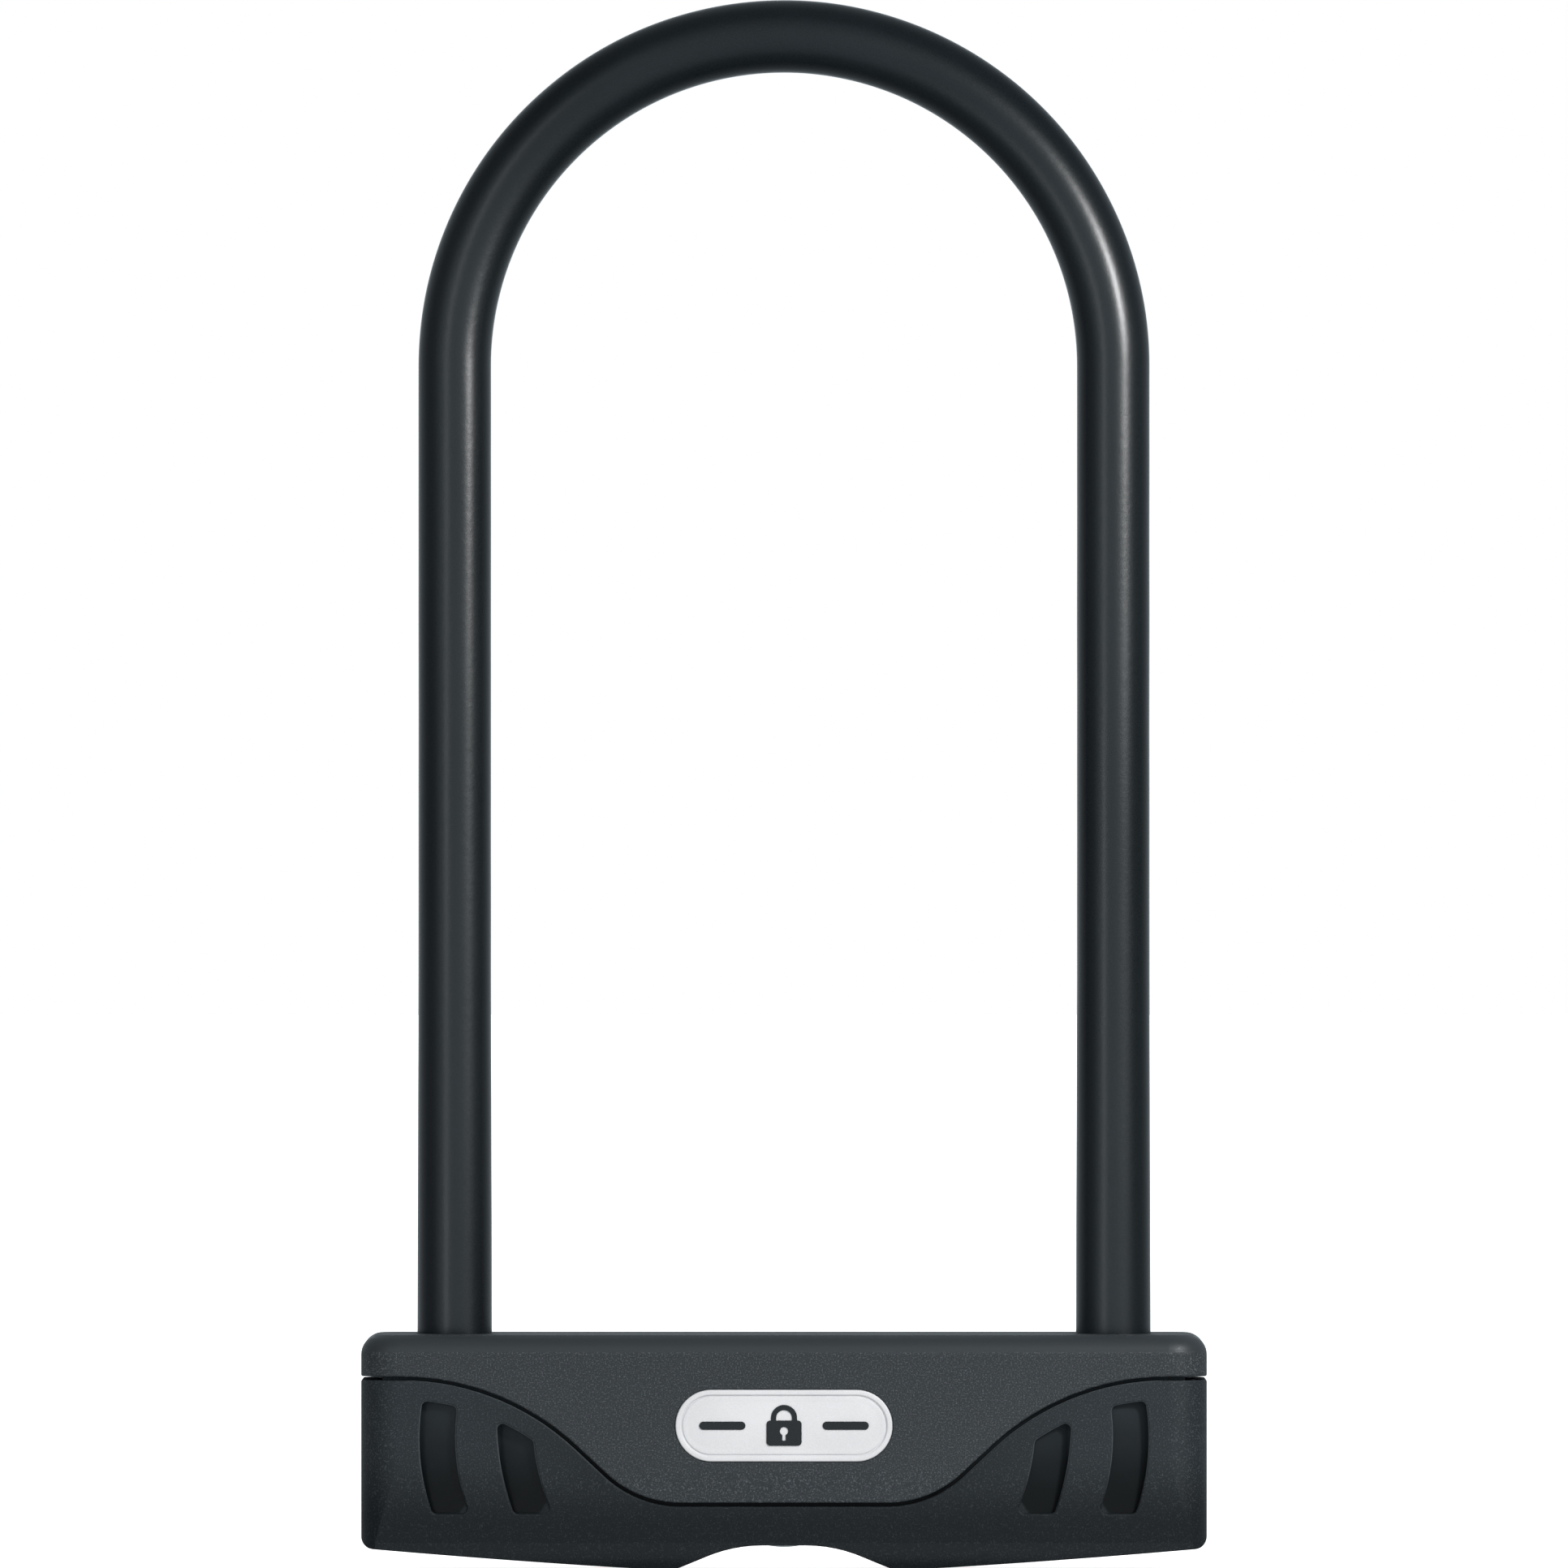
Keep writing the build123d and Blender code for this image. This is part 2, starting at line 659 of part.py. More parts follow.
with BuildPart() as shutter_pin:
    rod(-pivot_pin_half, pivot_pin_half, pivot_y, pivot_z, pivot_pin_radius)
save(shutter_pin.part, "shutter_pin")

with BuildPart() as shutter_spring:
    coil_half = spring_gap - 0.2
    rod(-coil_half, coil_half, pivot_y, pivot_z, knuckle_radius - 0.05)
    block(-0.15, 0.15, pivot_y + 0.45, pivot_y + 0.65, pivot_z, pivot_z + 3)
    rod(-coil_half, coil_half, pivot_y, pivot_z, pivot_pin_radius + pivot_play, mode=Mode.SUBTRACT)
save(shutter_spring.part, "shutter_spring")

# ---- bolts ------------------------------------------------------------------------------------------

with BuildPart() as left_bolt:
    block(-bolt_tip, -bolt_root, -bolt_half_y, bolt_half_y, bolt_bottom, bolt_top)
    chamfer(left_bolt.faces().sort_by(Axis.X)[0].edges().filter_by(Axis.Z), bolt_bevel)
    slot_half = crank_pin_radius + crank_slot_play
    block(-bolt_root, crank_x + slot_half + arm_lip, arm_split, bolt_half_y, bolt_bottom, bolt_top)
    block(crank_x - slot_half, crank_x + slot_half, crank_x - slot_half, crank_radius + slot_half,
          bolt_bottom, bolt_top, mode=Mode.SUBTRACT)
save(left_bolt.part, "left_bolt")

with BuildPart() as right_bolt:
    add(left_bolt.part, rotation=(0, 0, 180))
save(right_bolt.part, "right_bolt")
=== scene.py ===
import json
import math

import bmesh
import bpy
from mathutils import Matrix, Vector, noise


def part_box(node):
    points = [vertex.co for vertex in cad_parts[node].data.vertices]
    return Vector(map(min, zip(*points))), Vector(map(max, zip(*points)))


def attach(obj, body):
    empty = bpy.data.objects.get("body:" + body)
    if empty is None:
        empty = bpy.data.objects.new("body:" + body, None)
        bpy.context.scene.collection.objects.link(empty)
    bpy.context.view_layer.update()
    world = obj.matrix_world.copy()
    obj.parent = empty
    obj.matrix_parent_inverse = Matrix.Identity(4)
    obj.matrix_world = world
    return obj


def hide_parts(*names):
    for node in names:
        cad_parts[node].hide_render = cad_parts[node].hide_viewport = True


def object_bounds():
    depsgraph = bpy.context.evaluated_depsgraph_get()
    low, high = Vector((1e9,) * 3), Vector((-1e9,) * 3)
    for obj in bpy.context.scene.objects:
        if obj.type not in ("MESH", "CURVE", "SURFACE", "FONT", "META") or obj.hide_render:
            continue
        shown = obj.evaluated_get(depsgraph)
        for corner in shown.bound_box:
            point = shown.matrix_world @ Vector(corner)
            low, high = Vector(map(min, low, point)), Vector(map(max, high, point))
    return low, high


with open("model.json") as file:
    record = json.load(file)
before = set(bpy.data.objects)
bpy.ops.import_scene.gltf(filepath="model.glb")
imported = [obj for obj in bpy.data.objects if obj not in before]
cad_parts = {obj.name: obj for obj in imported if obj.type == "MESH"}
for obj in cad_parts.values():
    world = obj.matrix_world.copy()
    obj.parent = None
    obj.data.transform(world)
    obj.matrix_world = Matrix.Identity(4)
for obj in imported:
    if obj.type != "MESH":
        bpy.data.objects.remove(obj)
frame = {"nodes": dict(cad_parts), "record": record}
cad_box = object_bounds()

MM = 0.001
scene = bpy.context.scene
nodes = frame["nodes"]

# ---- places, read from the frame -----------------------------------------------------------------

low, high = cad_box
middle_z = (low.z + high.z) / 2
head_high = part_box("upper_casing")[1]
head_top = head_high.z
coat_low, coat_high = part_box("shackle_coating")
bar_low, bar_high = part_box("shackle_bar")
seal_low, seal_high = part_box("right_entry_seal")
badge_low, badge_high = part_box("badge_plate")
leg_x = (seal_low.x + seal_high.x) / 2
bar_radius = (bar_high.y - bar_low.y) / 2
foot_radius = (coat_high.y - coat_low.y) / 2
bend_z = bar_high.z - bar_radius - leg_x
coat_radius = coat_high.z - bend_z - leg_x
badge_radius = (badge_high.z - badge_low.z) / 2
badge_straight = (badge_high.x - badge_low.x) / 2 - badge_radius
badge_z = (badge_high.z + badge_low.z) / 2

# ---- sizes of details ----------------------------------------------------------------------------

lean_start_z = 20 * MM  # the lower casing's faces lean in below this height
lean_radius = 72 * MM  # and follow an arc of this radius
recess_end_x = 69 * MM  # the grip recesses end nearer the middle than this
recess_rim = 0.4 * MM  # radius of their rims
polish_height = 3.3 * MM  # the polished edge begins this far below the top of the head
coat_taper_z = 108 * MM  # the sleeve thickens below this height
sleeve_around = 64
leg_step = 2.4  # mm between the rows of a leg
bend_rows = 132
wave_scale = 55  # waves of the dipped coat, per metre
wave_height = 0.05 * MM
# Each foot of the sleeve has a rounded lip: height above the foot and how far it is drawn in, in mm.
foot_lip = ((0.0, 0.34), (0.05, 0.2), (0.15, 0.09), (0.3, 0.02), (0.5, 0.0))
rim_round = 0.32 * MM
# The badge's rim drops into a groove, which rises to the field: inset from the outline and depth, in mm.
badge_groove = ((0.78, 0.0), (0.9, 0.02), (0.98, 0.1), (1.02, 0.34),
                (1.3, 0.34), (1.35, 0.2), (1.45, 0.17))
field_depth = 0.25 * MM
field_crown = 0.08 * MM
field_rows = 10
badge_arc_steps = 28
badge_straight_steps = 24

# ---- brightness of the studio --------------------------------------------------------------------

floor_glow = 0.88
fill_glow = 0.73
room_tint = (0.87, 1.0, 1.08)
# Brightness of the room that shiny surfaces mirror, along Y from the front to the wall behind.
room_stops = ((-1.0, 0.8), (-0.78, 0.76), (-0.4, 0.2), (0.1, 0.18), (0.7, 0.42), (0.88, 0.5), (1.0, 1.1))
# That is multiplied by this, along Z from nearly level to straight overhead.
overhead_stops = ((0.35, 1.0), (0.7, 0.8), (1.0, 1.3))


# ---- shader helpers ------------------------------------------------------------------------------


class Shader:
    """A material's node tree with short calls for the nodes used here."""

    def __init__(self, name):
        self.material = bpy.data.materials.new(name)
        self.material.use_nodes = True
        self.tree = self.material.node_tree
        self.bsdf = self.tree.nodes["Principled BSDF"]
        self.place = self.tree.nodes.new("ShaderNodeTexCoord").outputs["Object"]

    def link(self, source, target):
        self.tree.links.new(source, target)

    def node(self, kind, inputs=None, **settings):
        made = self.tree.nodes.new(kind)
        for key, value in settings.items():
            setattr(made, key, value)
        for key, value in (inputs or {}).items():
            if isinstance(value, bpy.types.NodeSocket):
                self.link(value, made.inputs[key])
            else:
                made.inputs[key].default_value = value
        return made

    def math(self, operation, a, b=0.0):
        return self.node("ShaderNodeMath", {0: a, 1: b}, operation=operation).outputs[0]

    def noise(self, scale, detail, roughness, place=None):
        inputs = {"Vector": place or self.place, "Scale": scale, "Detail": detail, "Roughness": roughness}
        return self.node("ShaderNodeTexNoise", inputs).outputs["Fac"]

    def stretch(self, x, y, z):
        """Object coordinates scaled along the axes, to draw a noise out into lines."""
        inputs = {0: self.place, 1: (x, y, z)}
        return self.node("ShaderNodeVectorMath", inputs, operation="MULTIPLY").outputs[0]

    def axis(self, name):
        return self.node("ShaderNodeSeparateXYZ", {0: self.place}).outputs[name]

    def away(self, name):
        """Distance from the object's middle plane across an axis."""
        return self.math("ABSOLUTE", self.axis(name))

    def facing(self, name):
        """How squarely the surface itself faces along an axis, 0 to 1."""
        turned = self.node("ShaderNodeTexCoord").outputs["Normal"]
        return self.math("ABSOLUTE", self.node("ShaderNodeSeparateXYZ", {0: turned}).outputs[name])

    def step(self, value, start, end, to_low=0.0, to_high=1.0):
        """A smooth change from to_low to to_high while value goes from start to end."""
        inputs = {"Value": value, "From Min": start, "From Max": end, "To Min": to_low, "To Max": to_high}
        return self.node("ShaderNodeMapRange", inputs, interpolation_type="SMOOTHSTEP").outputs["Result"]

    def blend(self, one, share, other):
        """share of one pattern and the rest of the other."""
        return self.math("ADD", self.math("MULTIPLY", one, share), self.math("MULTIPLY", other, 1 - share))

    def product(self, first, *others):
        for other in others:
            first = self.math("MULTIPLY", first, other)
        return first

    def less(self, factor, share):
        """1 where factor is 0, and lower by share where factor is 1."""
        return self.math("SUBTRACT", 1.0, self.math("MULTIPLY", factor, share))

    def mix(self, factor, a, b):
        made = self.node("ShaderNodeMix", data_type="RGBA")
        for socket, value in ((made.inputs[0], factor), (made.inputs[6], a), (made.inputs[7], b)):
            if isinstance(value, bpy.types.NodeSocket):
                self.link(value, socket)
            else:
                socket.default_value = value
        return made.outputs[2]

    def bump(self, height, strength, distance):
        inputs = {"Height": height, "Strength": strength, "Distance": distance}
        return self.node("ShaderNodeBump", inputs).outputs["Normal"]

    def set(self, **values):
        for key, value in values.items():
            socket = self.bsdf.inputs[key.replace("_", " ")]
            if isinstance(value, bpy.types.NodeSocket):
                self.link(value, socket)
            else:
                socket.default_value = value


def srgb(r, g, b):
    """A displayed colour, 0 to 255, as the linear colour that shaders use."""
    linear = [((c / 255 + 0.055) / 1.055) ** 2.4 if c > 10 else c / 255 / 12.92 for c in (r, g, b)]
    return (*linear, 1.0)


def brighter(colour, times):
    return [c * times for c in colour[:3]] + [1.0]


# ---- materials -----------------------------------------------------------------------------------


def moulded_plastic(name, speck, base, smooth_zone, smooth_colour, cover, shade=None, sheltered=None,
                    rims=None):
    """Spark-eroded moulding: light specks on a dark ground, a faint mottle, and a smooth darker zone.

    speck and base are their colours, and cover is the part that the specks take up. smooth_zone(shader)
    is 1 where the mould was polished, and smooth_colour is the colour there or gives it for the shader;
    on the lower casing that colour is a painted shade in the recesses. Where given, shade(shader) is 0 to
    1 and darkens the ground as painted shade, sheltered(shader) dulls the shine and rims(shader) is 1 on
    edges that get a painted pale highlight."""
    s = Shader(name)
    grain = s.noise(3500, 3, 0.75)
    fine = s.noise(6400, 2, 0.5)
    mottle = s.noise(38, 3, 0.55)
    flat = smooth_zone(s)
    specks = s.step(grain, 0.6 - cover, 0.74 - cover * 0.5)
    ground = s.mix(mottle, base, brighter(base, 1.25))
    if shade:
        # Painted shade: where shade is 1 the ground darkens to half the base colour and the specks thin
        # out.
        ground = s.mix(shade(s), ground, brighter(base, 0.5))
        specks = s.product(specks, s.less(shade(s), 0.65))
    textured = s.mix(specks, ground, speck)
    if rims:
        # Painted highlight: the rims are lightened towards a pale speck colour.
        textured = s.mix(s.product(rims(s), 0.5), textured, brighter(speck, 1.6))
    # On the lower casing this colour is a painted shade in the recesses. On the upper casing it is the
    # polished edge's own colour.
    polished = smooth_colour(s) if callable(smooth_colour) else smooth_colour
    s.set(Base_Color=s.mix(flat, textured, polished))
    s.set(Roughness=s.math("SUBTRACT", s.step(grain, 0.3, 0.75, 0.52, 0.68), s.product(flat, 0.14)))
    s.set(Specular_IOR_Level=s.step(sheltered(s), 0.0, 1.0, 0.34, 0.14) if sheltered else 0.34)
    relief = s.product(s.blend(grain, 0.75, fine), s.less(flat, 0.92))
    s.set(Normal=s.bump(relief, 0.8, 0.1 * MM))
    return s.material


def upper_smooth(s):
    """The rounded top edge is polished in the mould. The flat top has the grain again."""
    height = s.axis("Z")
    edge_z = head_top - polish_height
    return s.product(s.step(height, edge_z, edge_z + 0.4 * MM),
                     s.step(height, head_top - 0.1 * MM, head_top - 0.4 * MM))


def sunk(s):
    """Depth below the outer face, which leans in towards the bottom."""
    below = s.math("MAXIMUM", s.math("SUBTRACT", lean_start_z, s.axis("Z")), 0.0)
    lean = s.math("DIVIDE", s.product(below, below), 2 * lean_radius)
    return s.math("SUBTRACT", s.math("SUBTRACT", head_high.y, lean), s.away("Y"))


def beside_ends(s):
    """1 over the grip recesses and 0 over the rounded ends, which also lie deeper than the outer face."""
    return s.step(s.away("X"), recess_end_x, recess_end_x - MM)


def lower_smooth(s):
    """The floors of the grip recesses are polished, and take a painted shade as their colour."""
    floor = s.product(s.step(sunk(s), 0.28 * MM, 0.5 * MM), s.step(s.facing("Y"), 0.6, 0.88))
    return s.product(floor, beside_ends(s))


def recess_rim_highlight(s):
    """Painted highlight: the rounded rims of the recesses are painted pale, except low down."""
    depth = sunk(s)
    rim_end = s.step(depth, 1.5 * recess_rim, 0.85 * recess_rim)
    rim = s.product(s.step(depth, 0.05 * MM, 0.12 * MM), rim_end)
    rounded = s.step(s.facing("Y"), 0.99, 0.94)
    high_up = s.step(s.axis("Z"), 11 * MM, 22 * MM)
    return s.product(rim, rounded, high_up, beside_ends(s))


def recess_painted_shade(s):
    """Painted shade in the grip recesses: their floors darken towards the bottom, with a cloudy edge to
    the change.
    """
    cloud = s.noise(95, 2, 0.5)
    height = s.math("ADD", s.axis("Z"), s.product(cloud, 7 * MM))
    return s.mix(s.step(height, 16 * MM, 38 * MM), srgb(5, 8, 9), srgb(36, 42, 46))


def lower_painted_shade(s):
    """Painted shade: the lower casing darkens towards the bottom, where its faces lean in and face down,
    and towards the middle.
    """
    inward = s.step(s.away("X"), 62 * MM, 22 * MM)
    downward = s.step(s.axis("Z"), 24 * MM, 8 * MM)
    return s.math("MAXIMUM", s.product(inward, 0.8), downward)


def lower_sheltered(s):
    """The recesses and the low middle of the lower casing shine least."""
    return s.math("MAXIMUM", lower_smooth(s), s.product(lower_painted_shade(s), 0.5))


def vinyl():
    """Dipped vinyl sleeve: satin, with a soft orange peel and a few fine specks."""
    s = Shader("vinyl")
    peel = s.noise(620, 2, 0.5)
    fine = s.noise(3800, 3, 0.6)
    cloud = s.noise(30, 2, 0.5, s.stretch(1, 1, 0.35))
    tone = s.step(s.blend(fine, 0.55, cloud), 0.3, 0.7)
    s.set(Base_Color=s.mix(tone, srgb(7, 12, 15), srgb(15, 23, 27)))
    s.set(Roughness=s.step(s.blend(fine, 0.4, cloud), 0.3, 0.7, 0.26, 0.36))
    # The crown of the bend is duller than the legs.
    s.set(Specular_IOR_Level=s.step(s.axis("Z"), bend_z + 12 * MM, bend_z + 52 * MM, 0.5, 0.32))
    s.set(Normal=s.bump(s.blend(peel, 0.75, fine), 0.35, 0.08 * MM))
    return s.material


def metal(name, colour, tint, roughness, direction, scale):
    """Machined or ground metal. direction scales the axes and scale is how fine its tool marks are."""
    s = Shader(name)
    marks = s.noise(scale, 3, 0.65, s.stretch(*direction))
    cloud = s.noise(90, 3, 0.5)
    s.set(Base_Color=s.mix(s.blend(marks, 0.6, cloud), colour, tint))
    s.set(Metallic=1.0)
    s.set(Roughness=s.step(marks, 0.25, 0.75, roughness - 0.07, roughness + 0.1))
    s.set(Normal=s.bump(marks, 0.25, 0.04 * MM))
    return s.material


def soft_rubber():
    """Matt moulded rubber of the seals and the leg buffers."""
    s = Shader("soft_rubber")
    grain = s.noise(1800, 3, 0.6)
    cloud = s.noise(60, 2, 0.5)
    s.set(Base_Color=s.mix(cloud, srgb(22, 23, 24), srgb(36, 37, 38)))
    s.set(Roughness=s.step(grain, 0.3, 0.7, 0.62, 0.8))
    s.set(Normal=s.bump(grain, 0.4, 0.1 * MM))
    return s.material


def nylon():
    """Glass-filled nylon of the carriers, with flow lines along the part."""
    s = Shader("nylon")
    fibre = s.noise(900, 4, 0.6, s.stretch(0.3, 1, 1))
    s.set(Base_Color=s.mix(fibre, srgb(52, 53, 55), srgb(74, 75, 77)))
    s.set(Roughness=s.step(fibre, 0.3, 0.7, 0.45, 0.62))
    s.set(Normal=s.bump(fibre, 0.3, 0.08 * MM))
    return s.material


def badge_metal():
    """Pale satin lacquer with a very fine sparkle."""
    s = Shader("badge_metal")
    flake = s.noise(5200, 2, 0.6)
    cloud = s.noise(70, 2, 0.5)
    tone = s.step(s.blend(flake, 0.5, cloud), 0.3, 0.7)
    s.set(Base_Color=s.mix(tone, srgb(206, 207, 209), srgb(219, 220, 222)))
    s.set(Roughness=s.step(flake, 0.3, 0.7, 0.38, 0.5))
    s.set(Normal=s.bump(flake, 0.2, 0.04 * MM))
    return s.material


def gloss_plastic(name):
    """Near-black plastic with a fine texture, for the badge's mark and the keyway's cap."""
    s = Shader(name)
    fine = s.noise(3000, 2, 0.5)
    cloud = s.noise(150, 2, 0.5)
    s.set(Base_Color=s.mix(cloud, srgb(7, 8, 9), srgb(14, 16, 18)))
    s.set(Roughness=s.step(fine, 0.3, 0.7, 0.24, 0.36))
    s.set(Normal=s.bump(fine, 0.2, 0.05 * MM))
    return s.material


finishes = {
    "casing_upper": moulded_plastic("casing_upper", srgb(88, 93, 97), srgb(35, 40, 43), upper_smooth,
                                    srgb(44, 49, 52), 0.1),
    # The lower casing has painted shade towards its bottom and middle and in its recesses, and painted
    # highlights on the recess rims.
    "casing_lower": moulded_plastic("casing_lower", srgb(72, 78, 82), srgb(23, 30, 34), lower_smooth,
                                    recess_painted_shade, 0.08, lower_painted_shade, lower_sheltered, recess_rim_highlight),
    "badge": badge_metal(),
    "emblem": gloss_plastic("emblem"),
    "vinyl": vinyl(),
    "hardened_steel": metal("hardened_steel", srgb(150, 151, 154), srgb(186, 187, 190), 0.34,
                            (0.08, 1, 1), 900),
    "plated_steel": metal("plated_steel", srgb(176, 177, 176), srgb(208, 208, 205), 0.3,
                          (1, 1, 1), 700),
    "cylinder_brass": metal("cylinder_brass", srgb(196, 160, 96), srgb(220, 188, 124), 0.28,
                            (1, 1, 0.1), 1100),
    "wafer_brass": metal("wafer_brass", srgb(204, 170, 104), srgb(226, 196, 132), 0.33,
                         (0.2, 1, 1), 1300),
    "nylon": nylon(),
    "soft_rubber": soft_rubber(),
    "cap_plastic": gloss_plastic("cap_plastic"),
}
for part in frame["record"]["subparts"]:
    mesh = nodes[part["node"]].data
    mesh.materials.clear()
    mesh.materials.append(finishes[part["material_slot"]])

# ---- pieces --------------------------------------------------------------------------------------


def add_piece(name, vertices, faces, body, slot, replaced):
    """Makes a smooth-shaded piece with its slot's finish, to stand in for a CAD node on its body."""
    mesh = bpy.data.meshes.new(name)
    mesh.from_pydata(vertices, [], faces)
    work = bmesh.new()
    work.from_mesh(mesh)
    bmesh.ops.recalc_face_normals(work, faces=work.faces)
    for face in work.faces:
        face.smooth = True
    work.to_mesh(mesh)
    work.free()
    mesh.materials.append(finishes[slot])
    piece = bpy.data.objects.new(name, mesh)
    scene.collection.objects.link(piece)
    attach(piece, body)
    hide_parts(replaced)


def tube_faces(rings, around, first=0):
    """Quads between rings of points that follow each other, from the point numbered first."""
    faces = []
    for i in range(rings - 1):
        for j in range(around):
            here = first + i * around
            k = (j + 1) % around
            faces.append((here + j, here + k, here + around + k, here + around + j))
    return faces


def leg_stations():
    """Rows of a leg from foot to bend, in mm: height above the foot and how far the lip is drawn in."""
    straight = (bend_z - coat_low.z) / MM
    rows = int(straight / leg_step)
    return list(foot_lip) + [(straight * i / rows, 0.0) for i in range(1, rows)]


def coat_size(z):
    """The sleeve's radius at a height: it thickens towards the feet."""
    along = min(max((z - coat_low.z) / (coat_taper_z - coat_low.z), 0.0), 1.0)
    return foot_radius + (coat_radius - foot_radius) * along


def leg_rings(side):
    """Middle, outward direction and radius of each row of the leg at one side, from its foot up."""
    rings = []
    for height, drawn_in in leg_stations():
        z = coat_low.z + height * MM
        rings.append((Vector((side * leg_x, 0, z)), Vector((side, 0, 0)), coat_size(z) - drawn_in * MM))
    return rings


def bend_rings():
    """The same for the bend, from the right leg over to the left one."""
    rings = []
    for i in range(bend_rows + 1):
        turn = math.pi * i / bend_rows
        outward = Vector((math.cos(turn), 0, math.sin(turn)))
        rings.append((Vector((0, 0, bend_z)) + outward * leg_x, outward, coat_radius))
    return rings


def make_sleeve():
    """The dipped vinyl sleeve, with the slight waves of a dipped coat and a rounded lip at each foot."""
    rings = leg_rings(1) + bend_rings() + leg_rings(-1)[::-1]
    depth = Vector((0, 1, 0))
    outer, inner = [], []
    for middle, outward, radius in rings:
        for j in range(sleeve_around):
            turn = 2 * math.pi * j / sleeve_around
            way = outward * math.cos(turn) + depth * math.sin(turn)
            point = middle + way * radius
            wave = 0.5 + 0.5 * noise.noise(point * wave_scale)
            outer.append(point - way * wave * wave_height)
            inner.append(middle + way * bar_radius)
    count = len(outer)
    faces = tube_faces(len(rings), sleeve_around) + tube_faces(len(rings), sleeve_around, count)
    for foot in (0, count - sleeve_around):
        for j in range(sleeve_around):
            here = foot + j
            beside = foot + (j + 1) % sleeve_around
            faces.append((here, beside, count + beside, count + here))
    add_piece("vinyl_sleeve", outer + inner, faces, "shackle", "vinyl", "shackle_coating")


def badge_profile():
    """Inset from the badge's outline and depth below its face, from the back edge to the middle."""
    profile = [(0.0, badge_high.y - badge_low.y), (0.0, rim_round)]
    for degrees in range(15, 91, 15):
        turn = math.radians(degrees)
        profile.append((rim_round * (1 - math.cos(turn)), rim_round * (1 - math.sin(turn))))
    profile += [(inset * MM, depth * MM) for inset, depth in badge_groove]
    field_start = profile[-1][0]
    for i in range(1, field_rows + 1):
        inward = i / field_rows
        depth = field_depth - field_crown * math.sin(math.pi / 2 * inward)
        profile.append((field_start + (badge_radius - field_start) * inward, depth))
    return profile


def stadium(radius):
    """Points around two half circles joined by straight runs, in X and Z about the badge's middle."""
    points = []
    for side in (1, -1):
        for i in range(badge_arc_steps + 1):
            turn = math.pi * i / badge_arc_steps - math.pi / 2
            across = badge_straight + radius * math.cos(turn)
            points.append((side * across, side * radius * math.sin(turn)))
        for i in range(1, badge_straight_steps):
            across = badge_straight * (1 - 2 * i / badge_straight_steps)
            points.append((side * across, side * radius))
    return points


def make_badge():
    """The badge: a rounded rim, a groove inside it and a slightly crowned field, sunk below the rim."""
    narrowest = 0.004 * MM
    profile = badge_profile()
    vertices = []
    for inset, depth in profile:
        outline = stadium(max(badge_radius - inset, narrowest))
        vertices += [(x, badge_low.y + depth, badge_z + z) for x, z in outline]
    around = len(vertices) // len(profile)
    faces = tube_faces(len(profile), around)
    faces.append(tuple(range(around)))
    faces.append(tuple(range(len(vertices) - around, len(vertices))))
    add_piece("badge_body", vertices, faces, "lock_body", "badge", "badge_plate")


make_sleeve()
make_badge()

# ---- floor, light and camera ---------------------------------------------------------------------


def make_floor():
    """Pale paper that glows, as backlit studio paper does. The object does not mirror it."""
    half = 12.0
    below = -0.2 * MM  # clear of the object's base
    mesh = bpy.data.meshes.new("floor")
    corners = [(x, y, below) for x, y in ((-half, -half), (half, -half), (half, half), (-half, half))]
    mesh.from_pydata(corners, [], [(0, 1, 2, 3)])
    floor = bpy.data.objects.new("floor", mesh)
    scene.collection.objects.link(floor)
    floor.visible_diffuse = False
    floor.visible_glossy = False
    s = Shader("floor_paper")
    fibre = s.noise(240, 3, 0.5)
    s.set(Base_Color=s.mix(fibre, (0.8, 0.8, 0.8, 1), (0.84, 0.84, 0.84, 1)))
    s.set(Roughness=0.9, Emission_Color=(1, 1, 1, 1), Emission_Strength=floor_glow)
    mesh.materials.append(s.material)


def softbox(name, place, aim, width, height, radiance):
    """A rectangular light of the given brightness, which the camera does not see."""
    data = bpy.data.lights.new(name, "AREA")
    data.shape = "RECTANGLE"
    data.size = width
    data.size_y = height
    data.energy = radiance * math.pi * width * height
    light = bpy.data.objects.new(name, data)
    light.location = place
    light.rotation_euler = (Vector(aim) - Vector(place)).to_track_quat("-Z", "Y").to_euler()
    light.visible_camera = False
    scene.collection.objects.link(light)


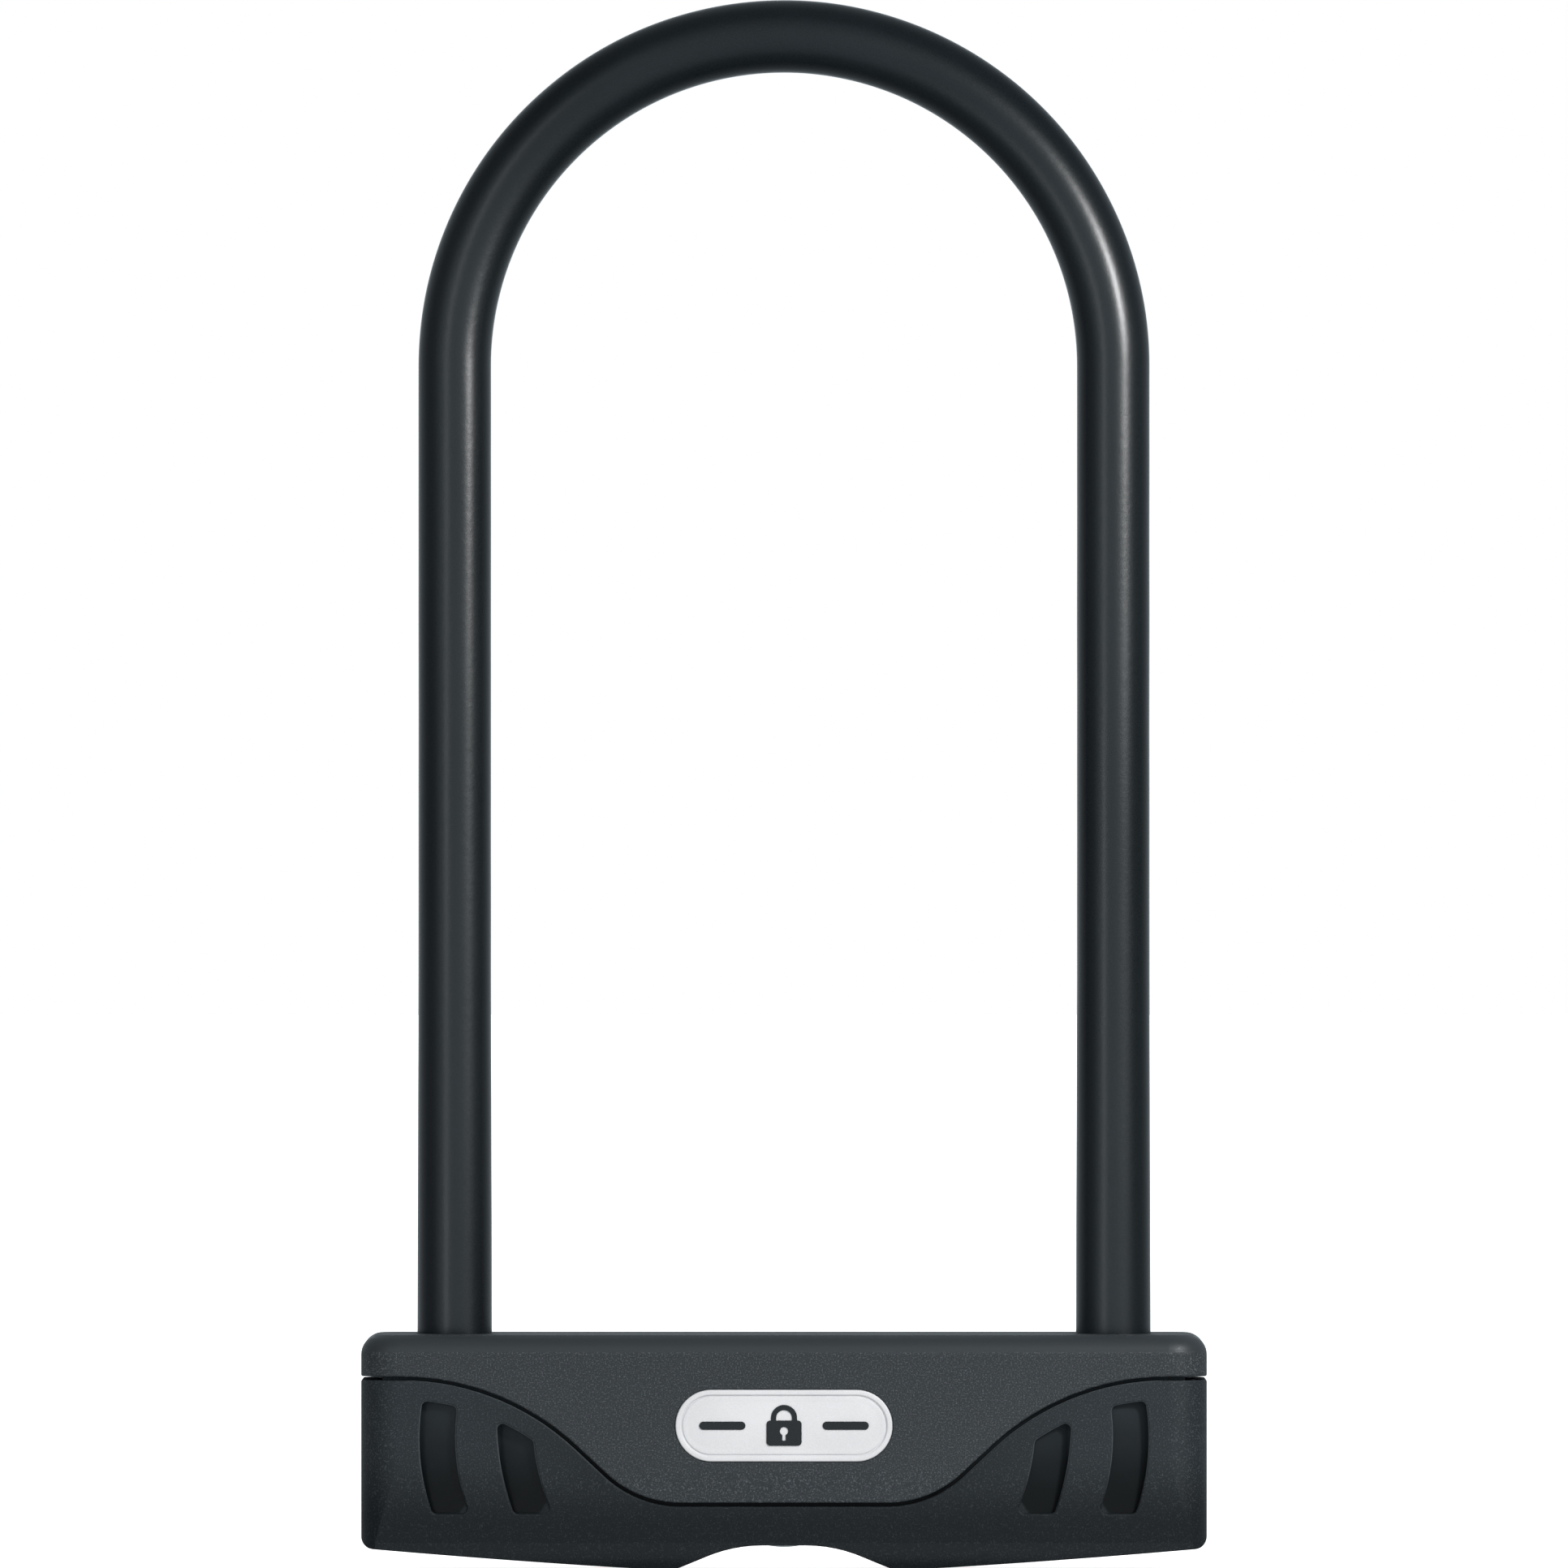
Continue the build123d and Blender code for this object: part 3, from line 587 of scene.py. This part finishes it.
def make_world():
    """White to the camera, an even soft fill on matt surfaces, and a room for shiny ones to mirror.

    The room has a big soft front, dim sides, a pale wall behind and a bright patch overhead."""
    world = bpy.data.worlds.new("studio")
    scene.world = world
    world.use_nodes = True
    tree = world.node_tree
    output = tree.nodes["World Output"]
    room = tree.nodes["Background"]
    paper = tree.nodes.new("ShaderNodeBackground")
    fill = tree.nodes.new("ShaderNodeBackground")
    choose = tree.nodes.new("ShaderNodeMixShader")
    soften = tree.nodes.new("ShaderNodeMixShader")
    path = tree.nodes.new("ShaderNodeLightPath")
    place = tree.nodes.new("ShaderNodeTexCoord")
    split = tree.nodes.new("ShaderNodeSeparateXYZ")
    tree.links.new(place.outputs["Generated"], split.inputs[0])

    def ramp(axis, stops, tint=(1, 1, 1)):
        """Brightness along an axis of the direction, from -1 to 1."""
        spread = tree.nodes.new("ShaderNodeMapRange")
        spread.inputs["From Min"].default_value = -1.0
        curve = tree.nodes.new("ShaderNodeValToRGB")
        curve.color_ramp.interpolation = "EASE"
        marks = curve.color_ramp.elements
        while len(marks) < len(stops):
            marks.new(0.5)
        for mark, (where, value) in zip(marks, stops):
            mark.position = (where + 1) / 2
            mark.color = (*(value * channel for channel in tint), 1)
        tree.links.new(split.outputs[axis], spread.inputs["Value"])
        tree.links.new(spread.outputs["Result"], curve.inputs["Fac"])
        return curve.outputs["Color"]

    both = tree.nodes.new("ShaderNodeVectorMath")
    both.operation = "MULTIPLY"
    tree.links.new(ramp("Y", room_stops, room_tint), both.inputs[0])
    tree.links.new(ramp("Z", overhead_stops), both.inputs[1])
    tree.links.new(both.outputs[0], room.inputs["Color"])
    tree.links.new(path.outputs["Is Camera Ray"], choose.inputs[0])
    tree.links.new(path.outputs["Is Diffuse Ray"], soften.inputs[0])
    tree.links.new(room.outputs[0], soften.inputs[1])
    tree.links.new(fill.outputs[0], soften.inputs[2])
    tree.links.new(soften.outputs[0], choose.inputs[1])
    tree.links.new(paper.outputs[0], choose.inputs[2])
    tree.links.new(choose.outputs[0], output.inputs["Surface"])
    fill.inputs["Color"].default_value = (fill_glow, fill_glow, fill_glow, 1)
    paper.inputs["Color"].default_value = (1, 1, 1, 1)


def make_camera():
    """Level with the object's middle and far off, as the photo was taken. Its height fills the view."""
    distance = 5.0
    frame_height = high.z - low.z
    data = bpy.data.cameras.new("camera")
    data.sensor_width = 36.0
    data.lens = data.sensor_width * distance / frame_height
    data.clip_end = 60.0
    camera = bpy.data.objects.new("camera", data)
    camera.location = (0, -distance, middle_z)
    camera.rotation_euler = (math.radians(90), 0, 0)
    scene.collection.objects.link(camera)
    scene.camera = camera


scene.view_settings.view_transform = "Standard"
make_floor()
make_world()
make_camera()
softbox("key", place=(0.33, -0.36, 0.31), aim=(0, 0, 0.12), width=0.08, height=0.10, radiance=78.0)
softbox("left_strip", place=(-0.72, -1.35, 0.2), aim=(0, 0, 0.14), width=0.16, height=1.6, radiance=2.6)
